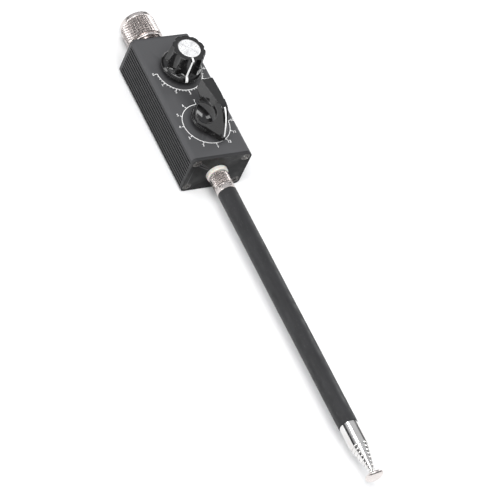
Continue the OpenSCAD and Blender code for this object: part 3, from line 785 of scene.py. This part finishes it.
def numerals(name, place, labels, mats):
    """Printed numbers: labels lists (text, radius, angle in degrees)."""
    meshes = []
    for text, radius, angle in labels:
        curve = bpy.data.curves.new("numeral", "FONT")
        curve.body = text
        curve.size = NUMERAL_H * 1.35
        curve.align_x = "CENTER"
        curve.align_y = "CENTER"
        curve.extrude = 0.02
        curve.offset = 0.03
        curve.resolution_u = 3
        holder = bpy.data.objects.new("numeral", curve)
        bpy.context.scene.collection.objects.link(holder)
        a = math.radians(angle)
        mesh = evaluated(holder)
        meshes.append(moved(mesh, Matrix.Translation((radius * math.cos(a), radius * math.sin(a), 0.03))))
        bpy.data.objects.remove(holder)
    add_piece(name, joined(name, meshes), place, "case", "white_printing", mats["white_printing"])


def build_numerals(mats):
    tune = [(str(n), TUNE_NUMERAL_R, 180 + 30 * n) for n in range(7)]
    numerals("tuning_numerals", ON_TUNE, tune, mats)
    band = [(str(n + 1), BAND_NUMERAL_R, -90 - 30 * n) for n in range(12)]
    numerals("band_numerals", ON_BAND, band, mats)


# ---------------------------------------------------------------- tuning knob

KNOB_LIFT = extent("tuning_knob", ON_TUNE)[0].z
TUNE_H = extent("tuning_knob", ON_TUNE)[1].z - KNOB_LIFT
TUNE_REST = -10
SKIRT_R = 12.0
GRIP_R = 10.4
INLAY_R = 6.4
FLUTES = 10
FLUTE_DEPTH = 1.9
FLUTE_LOW, FLUTE_HIGH = 2.9, 15.45
ON_TUNE_KNOB = ON_TUNE @ Matrix.Translation((0, 0, KNOB_LIFT)) @ Matrix.Rotation(
    math.radians(TUNE_REST), 4, "Z",
)
INSERT_R, INSERT_H = 4.2, 8.4
SET_SCREW_Z, SET_SCREW_R = 5.6, 1.5
LINE_ANGLE = -math.pi / 2


def grip_side():
    """Half outline of the knob's outside, from its foot to the rim of the disc."""
    foot = [(SKIRT_R - 0.1, 0, 0.3), (SKIRT_R, 0.45, 0.2), (SKIRT_R, 1.35, 0.4), (GRIP_R + 0.5, 2.5, 0.4)]
    low, high = (GRIP_R - 0.02, 2.9), (GRIP_R - 0.72, TUNE_H - 0.75)
    count = 26
    wall = [tuple(low[j] + (high[j] - low[j]) * k / count for j in (0, 1)) for k in range(count + 1)]
    rim = [(GRIP_R - 0.78, TUNE_H - 0.2, 0.3), (GRIP_R - 1.4, TUNE_H, 0.3), (INLAY_R + 0.35, TUNE_H, 0.25)]
    return foot + wall + rim


def flute(radius, height, angle):
    """How far the finger scoops cut into the grip. A ridge lies under the white line."""
    if radius < INLAY_R + 1.5 or height < FLUTE_LOW - 0.4:
        return 0
    phase = (angle - LINE_ANGLE) * FLUTES / (2 * math.pi)
    across = 2 * (phase - math.floor(phase)) - 1
    scoop = 1 - abs(across) ** 2.1
    top = FLUTE_HIGH - 0.9 * across**2
    fade = min(1, max(0, (top - height) / 0.8)) * min(1, max(0, (height - FLUTE_LOW + 0.4) / 0.8))
    return -FLUTE_DEPTH * scoop * math.sin(fade * math.pi / 2)


def knob_inside():
    """Outline of the hollow underside, from the foot's inner edge to the top of the insert."""
    return [(0, INSERT_H), (INSERT_R, INSERT_H), (INSERT_R, 0.8), (8.6, 0.8), (8.8, 0)]


def build_tuning_knob(mats):
    disc_seat = [(INLAY_R + 0.02, TUNE_H - 0.2), (INLAY_R, TUNE_H - 0.6), (0, TUNE_H - 0.6)]
    outline = rounded(knob_inside() + grip_side() + disc_seat, 4)
    knob = lathe("tuning_grip", outline, 320, flute, math.radians(32))
    bore = moved(
        rod(SET_SCREW_R, 3, 20),
        Matrix.Translation((0, 0, SET_SCREW_Z)) @ Matrix.Rotation(-math.pi / 2, 4, "X"),
    )
    add_piece(
        "tuning_grip", cut(knob, [bore]), ON_TUNE_KNOB, "tuning_control", "black_bakelite",
        mats["black_bakelite"], "tuning_knob",
    )

    disc = rounded(
        [
            (0, -0.6), (INLAY_R, -0.6), (INLAY_R, -0.12, 0.1), (INLAY_R - 0.28, 0, 0.15), (5.7, -0.03),
            (0, -0.03),
        ],
        3,
    )
    disc = [(r, h + TUNE_H + 0.12) for r, h in disc]
    add_piece(
        "tuning_disc", lathe("tuning_disc", disc, 128), ON_TUNE_KNOB, "tuning_control",
        "spun_aluminium", mats["spun_aluminium"], "tuning_inlay",
    )

    path = [p for p in rounded(grip_side(), 4) if 0.3 < p[1]][::-1]
    lengths = [0]
    for a, b in zip(path, path[1:]):
        lengths.append(lengths[-1] + math.dist(a, b))

    def line_surface(row, column):
        want = row * lengths[-1]
        i = min(next((n for n, s in enumerate(lengths) if s > want), len(path) - 1), len(path) - 1)
        t = (want - lengths[i - 1]) / (lengths[i] - lengths[i - 1])
        radius, height = (path[i - 1][j] + (path[i][j] - path[i - 1][j]) * t for j in (0, 1))
        slope_r, slope_h = (path[i][j] - path[i - 1][j] for j in (0, 1))
        size = math.hypot(slope_r, slope_h)
        width = 1.05 + 0.5 * max(0, row - 0.35) / 0.65
        angle = LINE_ANGLE + (column - 0.5) * width / radius
        r = radius + flute(radius, height, angle)
        out = Vector((-slope_h / size * math.cos(angle), -slope_h / size * math.sin(angle), slope_r / size))
        return (r * math.cos(angle), r * math.sin(angle), height), out

    line = skin("tuning_pointer_line", line_surface, 90, 7, 0.06, 0.12)
    add_piece(
        "tuning_pointer_line", line, ON_TUNE_KNOB, "tuning_control", "white_printing",
        mats["white_printing"], "tuning_line",
    )


# ---------------------------------------------------------------- band knob

NOSE, TAIL, BAND_H = 16.2, 14.3, 18.6
FOOT_R = 10.2
BAND_REST = 5
ON_BAND_KNOB = ON_BAND @ Matrix.Translation((0, 0, KNOB_LIFT)) @ Matrix.Rotation(
    math.radians(BAND_REST), 4, "Z",
)
# The ridge along the knob as (y, height), from nose to tail
RIDGE = (
    (-NOSE, 0.6), (-NOSE, 2.8), (-15.1, 6.1), (-13.9, 8.9), (-12.6, 11.6), (-11.0, 14.0), (-9.3, 16.1),
    (-7.4, 17.8), (-5.2, BAND_H), (TAIL - 1, BAND_H), (TAIL - 0.2, BAND_H - 0.8), (TAIL, BAND_H - 2),
    (TAIL, 10),
)
# Half widths of the grip's top, from nose to tail
TOP_Y = (-NOSE, -7.3, -4.5, -1.2, 2.1, 5, 9.5, TAIL)
TOP_X = (0.95, 1.75, 2.0, 2.5, 3.0, 3.2, 3.45, 3.6)
SCOOP_AT = (9.0, -2.5, 12.5)
SCOOP_SIZE = (5.8, 9.0, 7.8)


def soft_or(a, b, blend):
    """The union of two fields with a fillet of about that size."""
    h = np.clip(0.5 + 0.5 * (b - a) / blend, 0, 1)
    return b + (a - b) * h - blend * h * (1 - h)


def soft_and(a, b, blend):
    return -soft_or(-a, -b, blend)


def inside_line(u, v, points):
    """Distance outside a convex chain of points, negative on its inner, right-hand side."""
    far = np.full(np.broadcast(u, v).shape, -1e3)
    for (u0, v0), (u1, v1) in zip(points, points[1:]):
        size = math.hypot(u1 - u0, v1 - v0)
        far = np.maximum(far, ((v - v0) * (u1 - u0) - (u - u0) * (v1 - v0)) / size)
    return far


def pointer_field(x, y, z):
    """The pointer knob as a field: negative inside, with its nose towards -Y."""
    side = np.abs(x)
    q = np.hypot(x, y)
    over = inside_line(y, z, RIDGE)
    top = np.interp(y, TOP_Y, TOP_X)
    foot = soft_and(q - FOOT_R, z - 1.2, 0.35)
    hub = soft_and(q - (9.75 - 0.04 * z - 0.005 * z**2), z - 13.6 + 0.3 * q, 1.2)
    # The nose: a wedge in plan that draws in towards the ridge
    wide = np.clip(1.3 + (y + NOSE) * 0.57, 0.6, 9.4)
    rise = np.clip((z - 3.0) / (np.interp(y, *zip(*RIDGE[1:9])) - 2.4), 0, 1)
    nose = 0.84 * (side - wide - (top - wide) * rise)
    nose = soft_and(nose, over, 0.8)
    nose = soft_and(nose, y + 2.0, 0.6)
    body = soft_or(hub, nose, 1.2)
    # A finger scoop on each side
    middle = SCOOP_AT[0] + 0.17 * (y - SCOOP_AT[1])
    scoop = ((side - middle) / SCOOP_SIZE[0]) ** 2 + ((y - SCOOP_AT[1]) / SCOOP_SIZE[1]) ** 2
    scoop = np.sqrt(scoop + ((z - SCOOP_AT[2]) / SCOOP_SIZE[2]) ** 2)
    body = soft_and(body, (1 - scoop) * 6.0, 0.5)
    # The grip that runs from the tail over the middle to the nose
    bar = soft_and(side - top - 0.02 * (BAND_H - z), over, 0.55)
    undercut = (8.0 - z) * 0.88 + (y - 9.2) * 0.46
    bar = np.where(y > 6, soft_and(bar, undercut, 0.5), bar)
    whole = np.maximum(soft_or(body, bar, 0.7), over)
    whole = soft_or(whole, foot, 0.3)
    whole = np.maximum(whole, -z)
    hollow = np.minimum(np.maximum(q - 8.6, z - 0.8), np.maximum(q - INSERT_R, z - INSERT_H))
    return np.maximum(whole, -hollow)


def pointer_top(x, y):
    """Height of the pointer knob's top over (x, y), found by halving."""
    low, high = 0.9, BAND_H + 0.5
    for _ in range(30):
        middle = (low + high) / 2
        inside = pointer_field(*(np.array([v]) for v in (x, y, middle)))[0] < 0
        low, high = (middle, high) if inside else (low, middle)
    return low


def build_band_knob(mats):
    step = 0.25
    low = (-FOOT_R - 0.6, -NOSE - 0.6, -0.5 * step - step)
    knob = surface_net("pointer_grip", pointer_field, low, (FOOT_R + 0.6, TAIL + 0.6, BAND_H + 0.6), step)
    bore = moved(
        rod(SET_SCREW_R, 3, 20),
        Matrix.Translation((0, 0, SET_SCREW_Z)) @ Matrix.Rotation(-math.pi / 2, 4, "X"),
    )
    add_piece(
        "pointer_grip", cut(knob, [bore]), ON_BAND_KNOB, "band_control", "black_bakelite",
        mats["black_bakelite"], "band_knob",
    )

    crest = np.linspace(-7.0, -NOSE + 0.2, 40)
    steps = np.hypot(np.diff(crest), np.diff(np.interp(crest, *zip(*RIDGE[1:9]))))
    along = np.concatenate([[0], np.cumsum(steps)])

    def line_surface(row, column):
        y = float(np.interp(row * along[-1], along, crest))
        x = (column - 0.5) * (1.0 - 0.2 * row)
        z = pointer_top(x, y)
        rise = (pointer_top(x, y + 0.1) - pointer_top(x, y - 0.1)) / 0.2
        return (x, y, z), Vector((0, -rise, 1)).normalized()

    line = skin("pointer_line", line_surface, 48, 5, 0.06, 0.12)
    add_piece(
        "pointer_line", line, ON_BAND_KNOB, "band_control", "white_printing", mats["white_printing"],
        "band_line",
    )


# ---------------------------------------------------------------- UHF plug

NUT_LOW, NUT_HIGH = (c.z for c in extent("coupling_nut", ON_PLUG))
NUT_R = extent("coupling_nut", ON_PLUG)[1].x
THREAD_R, THREAD_PITCH = 7.45, 1.058
NUT_KNURLS, NUT_KNURL_DEPTH = 56, 0.6
PLUG_END = extent("plug_body", ON_PLUG)[1].z
PLUG_TEETH = 24


def thread(radius, height, angle):
    if radius > THREAD_R + 0.05 or height < NUT_LOW + 2.4:
        return 0
    return 0.42 * saw(height / THREAD_PITCH - angle / (2 * math.pi))


def build_plug(mats):
    r, low, high = NUT_R, NUT_LOW, NUT_HIGH
    rear = [
        (7.2, low, 0.1), (r - 1.1, low, 0.3), (r - 0.6, low + 0.4, 0.3), (r - 0.6, low + 1.5, 0.15),
        (r - 1.1, low + 1.8, 0.1),
    ]
    knurl_low, knurl_high = low + 2.1, high - 3.4
    front = [
        (r - 1.15, high - 3.1, 0.1), (r - 0.6, high - 2.8, 0.2), (r - 0.6, high - 0.6, 0.4),
        (r - 1.1, high, 0.25), (8.3, high, 0.15), (8.0, high - 0.5),
    ]
    wall = stretch(r, knurl_low, knurl_high, 0.13)
    outline = rounded(rear, 4) + wall + rounded(front, 4) + [(8.0, low + 1.8), (7.2, low + 1.8)]
    shell = lathe(
        "shell", outline, 480,
        knurl(NUT_KNURLS, NUT_KNURL_DEPTH, knurl_low - 0.01, knurl_high + 0.01, r - 0.1),
        math.radians(30),
    )
    bore = stretch(THREAD_R, low + 1.8, high - 0.7, 0.13)
    liner = lathe("liner", [(8.1, low + 1.8)] + bore + [(8.1, high - 0.35)], 96, thread, math.radians(30))
    lip = lathe(
        "lip",
        rounded(
            [(6.75, low + 0.02, 0.2), (7.6, low + 0.02), (7.6, low + 1.9), (6.75, low + 1.78, 0.2)],
        ),
        96,
    )
    add_piece(
        "knurled_coupling", joined("knurled_coupling", [shell, liner, lip]), ON_PLUG, "plug_coupling",
        "nickel_plate", mats["nickel_plate"], "coupling_nut",
    )

    notch_low, notch_high = PLUG_END - 0.7, PLUG_END + 0.5
    body = rounded(
        [
            (4, -5.2), (5.5, -5.2, 0.2), (5.5, -2), (5.5, 0), (8.5, 0, 0.05), (8.5, 2.5, 0.35),
            (6.4, 2.5, 0.3), (6.4, 9.7, 0.15),
        ]
        + [
            (7.1, 9.7, 0.2), (7.1, 11.7, 0.25), (6, 12.3, 0.2), (6, PLUG_END, 0.25), (5, PLUG_END, 0.2),
            (5, 9.5), (4, 9.5),
        ],
        4,
    )
    plug = lathe("plug_shell", body, 144)
    notches = []
    for k in range(PLUG_TEETH):
        corners = [(x, side * (0.12 + 0.037 * x), notch_high) for x in (4.5, 6.5) for side in (-1, 1)]
        corners += [(4.5, 0, notch_low), (6.5, 0, notch_low)]
        faces = [(0, 4, 1), (2, 3, 5), (0, 1, 3, 2), (1, 4, 5, 3), (4, 0, 2, 5)]
        wedge = make_mesh("notch", corners, faces)
        notches.append(moved(wedge, Matrix.Rotation(2 * math.pi * k / PLUG_TEETH, 4, "Z")))
    notches = [joined("notches", notches)]
    add_piece(
        "plug_shell", cut(plug, notches), ON_PLUG, "case", "nickel_plate", mats["nickel_plate"],
        "plug_body",
    )

    pin_r, pin_end = 1.98, extent("plug_pin", ON_PLUG)[1].z
    face = extent("plug_insulator", ON_PLUG)[1].z
    insulator = rounded(
        [
            (2.4, -6), (4, -6), (4, 9.5), (5, 9.5), (5, face, 0.2), (4.2, face), (3.9, face - 0.5, 0.2),
            (3.2, face - 0.5, 0.2), (2.9, face), (2.4, face, 0.15),
        ],
    )
    add_piece(
        "plug_dielectric", lathe("plug_dielectric", insulator, 96), ON_PLUG, "case", "ivory_insulation",
        mats["ivory_insulation"], "plug_insulator",
    )
    pin = rounded(
        [
            (0, -8.5), (2.4, -8.5), (2.4, face), (pin_r, face), (pin_r, pin_end - 1.2, 0.5),
            (pin_r - 0.7, pin_end - 0.15, 0.4), (0.9, pin_end, 0.1), (0.75, pin_end - 0.5, 0.2),
            (0, pin_end - 0.7),
        ],
    )
    add_piece(
        "centre_pin", lathe("centre_pin", pin, 72), ON_PLUG, "case", "brass_parts",
        mats["nickel_plate"], "plug_pin",
    )


# ---------------------------------------------------------------- whip

WASHER_R, WASHER_T = 6.2, 2.6
FOOT_LOW, FOOT_HIGH = (c.z for c in extent("whip_foot", ON_WHIP))
FOOT_KNURL_R = extent("whip_foot", ON_WHIP)[1].x
FOOT_KNURL_L = 7.9
FOOT_KNURLS, FOOT_KNURL_DEPTH = 34, 0.5
SLEEVE_LOW, SLEEVE_HIGH = (c.z for c in extent("whip_sleeve", ON_WHIP))
SLEEVE_R = extent("whip_sleeve", ON_WHIP)[1].x
TUBE_R = extent("whip_tube", ON_WHIP)[1].x
TUBE_WALL = 0.2
SECTIONS = 8


def tube_mesh(name, radius, low, high, guide):
    """A drawn tube whose end is beaded, then rolled in to guide the next section."""
    lip = [
        (radius - 0.02, high - 0.9), (radius - 0.07, high - 0.75), (radius, high - 0.55, 0.1),
        (radius, high - 0.22, 0.15), (radius - 0.16, high, 0.12),
    ]
    inner = [
        (guide, high, 0.05), (guide, high - 1), (radius - TUBE_WALL, high - 1),
        (radius - TUBE_WALL, low),
    ]
    return lathe(name, rounded([(radius, low), *lip, *inner], 4), 72, sharp=math.radians(40))


def build_whip(mats):
    washer = rounded(
        [
            (2.5, -PLATE_T), (4, -PLATE_T), (4, 0), (WASHER_R, 0, 0.25), (WASHER_R, WASHER_T, 0.9),
            (2.5, WASHER_T, 0.2),
        ],
        6,
    )
    add_piece(
        "whip_washer", lathe("whip_washer", washer, 96), ON_WHIP, "case", "ivory_insulation",
        mats["ivory_insulation"], "whip_insulator",
    )

    low, high = FOOT_LOW, FOOT_LOW + FOOT_KNURL_L
    wall = stretch(FOOT_KNURL_R, low + 0.5, high - 0.4, 0.1)
    top = rounded(
        [
            (FOOT_KNURL_R, high - 0.4), (SLEEVE_R - 0.35, high - 0.1, 0.1),
            (SLEEVE_R - 0.35, high + 0.15, 0.1), (SLEEVE_R, high + 0.35, 0.15),
            (SLEEVE_R, FOOT_HIGH, 0.15),
        ],
    )
    outline = [(2.54, low)] + rounded(
        [(2.55, low), (FOOT_KNURL_R - 0.55, low, 0.2), (FOOT_KNURL_R, low + 0.5, 0.15)],
    )[1:] + wall + top[1:]
    outline += [(TUBE_R, FOOT_HIGH), (TUBE_R, FOOT_HIGH - 3), (2.54, FOOT_HIGH - 3)]
    foot = lathe(
        "knurled_foot", outline, 352,
        knurl(FOOT_KNURLS, FOOT_KNURL_DEPTH, low + 0.5, high - 0.4, FOOT_KNURL_R - 0.1),
        math.radians(30),
    )
    add_piece("knurled_foot", foot, ON_WHIP, "whip_base", "nickel_plate", mats["nickel_plate"], "whip_foot")

    def sag(radius, height, angle):
        if radius < SLEEVE_R - 0.3:
            return 0
        along = height / 17
        return -0.035 * (1 + math.sin(along + 2 * angle) * math.sin(0.7 * along - angle))

    sleeve_wall = stretch(SLEEVE_R, SLEEVE_LOW + 0.6, SLEEVE_HIGH - 0.8, 2.0)
    ends = rounded(
        [
            (SLEEVE_R, SLEEVE_HIGH - 0.8), (SLEEVE_R - 0.02, SLEEVE_HIGH, 0.3),
            (TUBE_R + 0.01, SLEEVE_HIGH),
        ],
    )[1:]
    sleeve = lathe(
        "rubber_sleeve",
        [(TUBE_R + 0.01, SLEEVE_LOW), (SLEEVE_R - 0.1, SLEEVE_LOW)] + sleeve_wall + ends, 96, sag,
    )
    add_piece(
        "rubber_sleeve", sleeve, ON_WHIP, "whip_base", "black_sleeve", mats["black_sleeve"],
        "whip_sleeve",
    )

    radii, tops = [], []
    for k in range(SECTIONS + 1):
        node = f"section_{k}" if k else "whip_tube"
        base, corner = extent(node, ON_WHIP)
        radii.append(corner.x)
        tops.append((base.z, corner.z))
    for k in range(SECTIONS):
        name = f"tube_{k}" if k else "outer_tube"
        body = f"whip_section_{k}" if k else "whip_base"
        mesh = tube_mesh(name, radii[k], *tops[k], radii[k + 1] + 0.03)
        add_piece(
            name, mesh, ON_WHIP, body, "chrome_tube", mats["chrome_tube"],
            f"section_{k}" if k else "whip_tube",
        )
    r, (base, top_z) = radii[SECTIONS], tops[SECTIONS]
    rod_outline = rounded([(0, base), (r, base, 0.2), (r, top_z), (0, top_z)])
    add_piece(
        "tip_rod", lathe("tip_rod", rod_outline, 64), ON_WHIP, f"whip_section_{SECTIONS}",
        "chrome_tube", mats["chrome_tube"], f"section_{SECTIONS}",
    )

    low, high = (c.z for c in extent("whip_button", ON_WHIP))
    r = extent("whip_button", ON_WHIP)[1].x
    button = rounded(
        [
            (0, low), (r - 0.6, low, 0.2), (r, low + 0.6, 0.4), (r, high - 0.9, 0.5),
            (r - 1.0, high - 0.12, 0.7), (2.4, high, 0.5), (0, high),
        ],
        6,
    )
    add_piece(
        "end_button", lathe("end_button", button, 96), ON_WHIP, f"whip_section_{SECTIONS}",
        "chrome_tube", mats["nickel_plate"], "whip_button",
    )


# ---------------------------------------------------------------- the whole object


def slot_materials():
    return {
        "black_anodised": anodised("black_anodised", GROOVE_FIRST + GROOVE_PITCH * GROOVES),
        "end_plates": anodised("end_plates"),
        "black_screws": screw_black(),
        "white_printing": ink(),
        "nickel_plate": plated("nickel_plate", (0.7, 0.65, 0.63), 0.2, (0.6, 0.56, 0.54)),
        "clear_plastic": plain_plastic(
            "clear_polyester", (0.82, 0.83, 0.8), (0.74, 0.75, 0.7), 0.2, Alpha=0.45,
        ),
        "aluminium_vanes": plated("aluminium_vanes", (0.78, 0.78, 0.78), 0.3, (0.66, 0.66, 0.66)),
        "phenolic_board": plain_plastic("phenolic_board", (0.3, 0.16, 0.07), (0.22, 0.11, 0.045), 0.4),
        "brass_parts": brass(),
        "spring_steel": plated("spring_steel", (0.6, 0.6, 0.62), 0.25, (0.45, 0.44, 0.44)),
        "green_board": plain_plastic("green_board", (0.03, 0.16, 0.06), (0.02, 0.11, 0.045), 0.3),
        "toroid_powder": plain_plastic("toroid_powder", (0.42, 0.07, 0.05), (0.33, 0.05, 0.035), 0.4),
        "copper_wire": plated("copper_wire", (0.8, 0.4, 0.24), 0.22, (0.6, 0.27, 0.15)),
        "wire_insulation": plain_plastic("wire_insulation", (0.8, 0.8, 0.77), (0.7, 0.7, 0.66), 0.4),
        "ivory_insulation": ivory(),
        "black_bakelite": bakelite(),
        "spun_aluminium": spun_disc(),
        "black_sleeve": sleeve_black(),
        "chrome_tube": chrome(),
    }


def dress_nodes(mats):
    """The CAD nodes that keep their own mesh get the finish of their slot."""
    for part in frame["record"]["subparts"]:
        node = frame["nodes"][part["node"]]
        node.data.materials.clear()
        node.data.materials.append(mats[part["material_slot"]])


mats = slot_materials()
dress_nodes(mats)
build_case(mats)
build_numerals(mats)
build_tuning_knob(mats)
build_band_knob(mats)
build_plug(mats)
build_whip(mats)
add_floor()
add_lights()
add_camera()
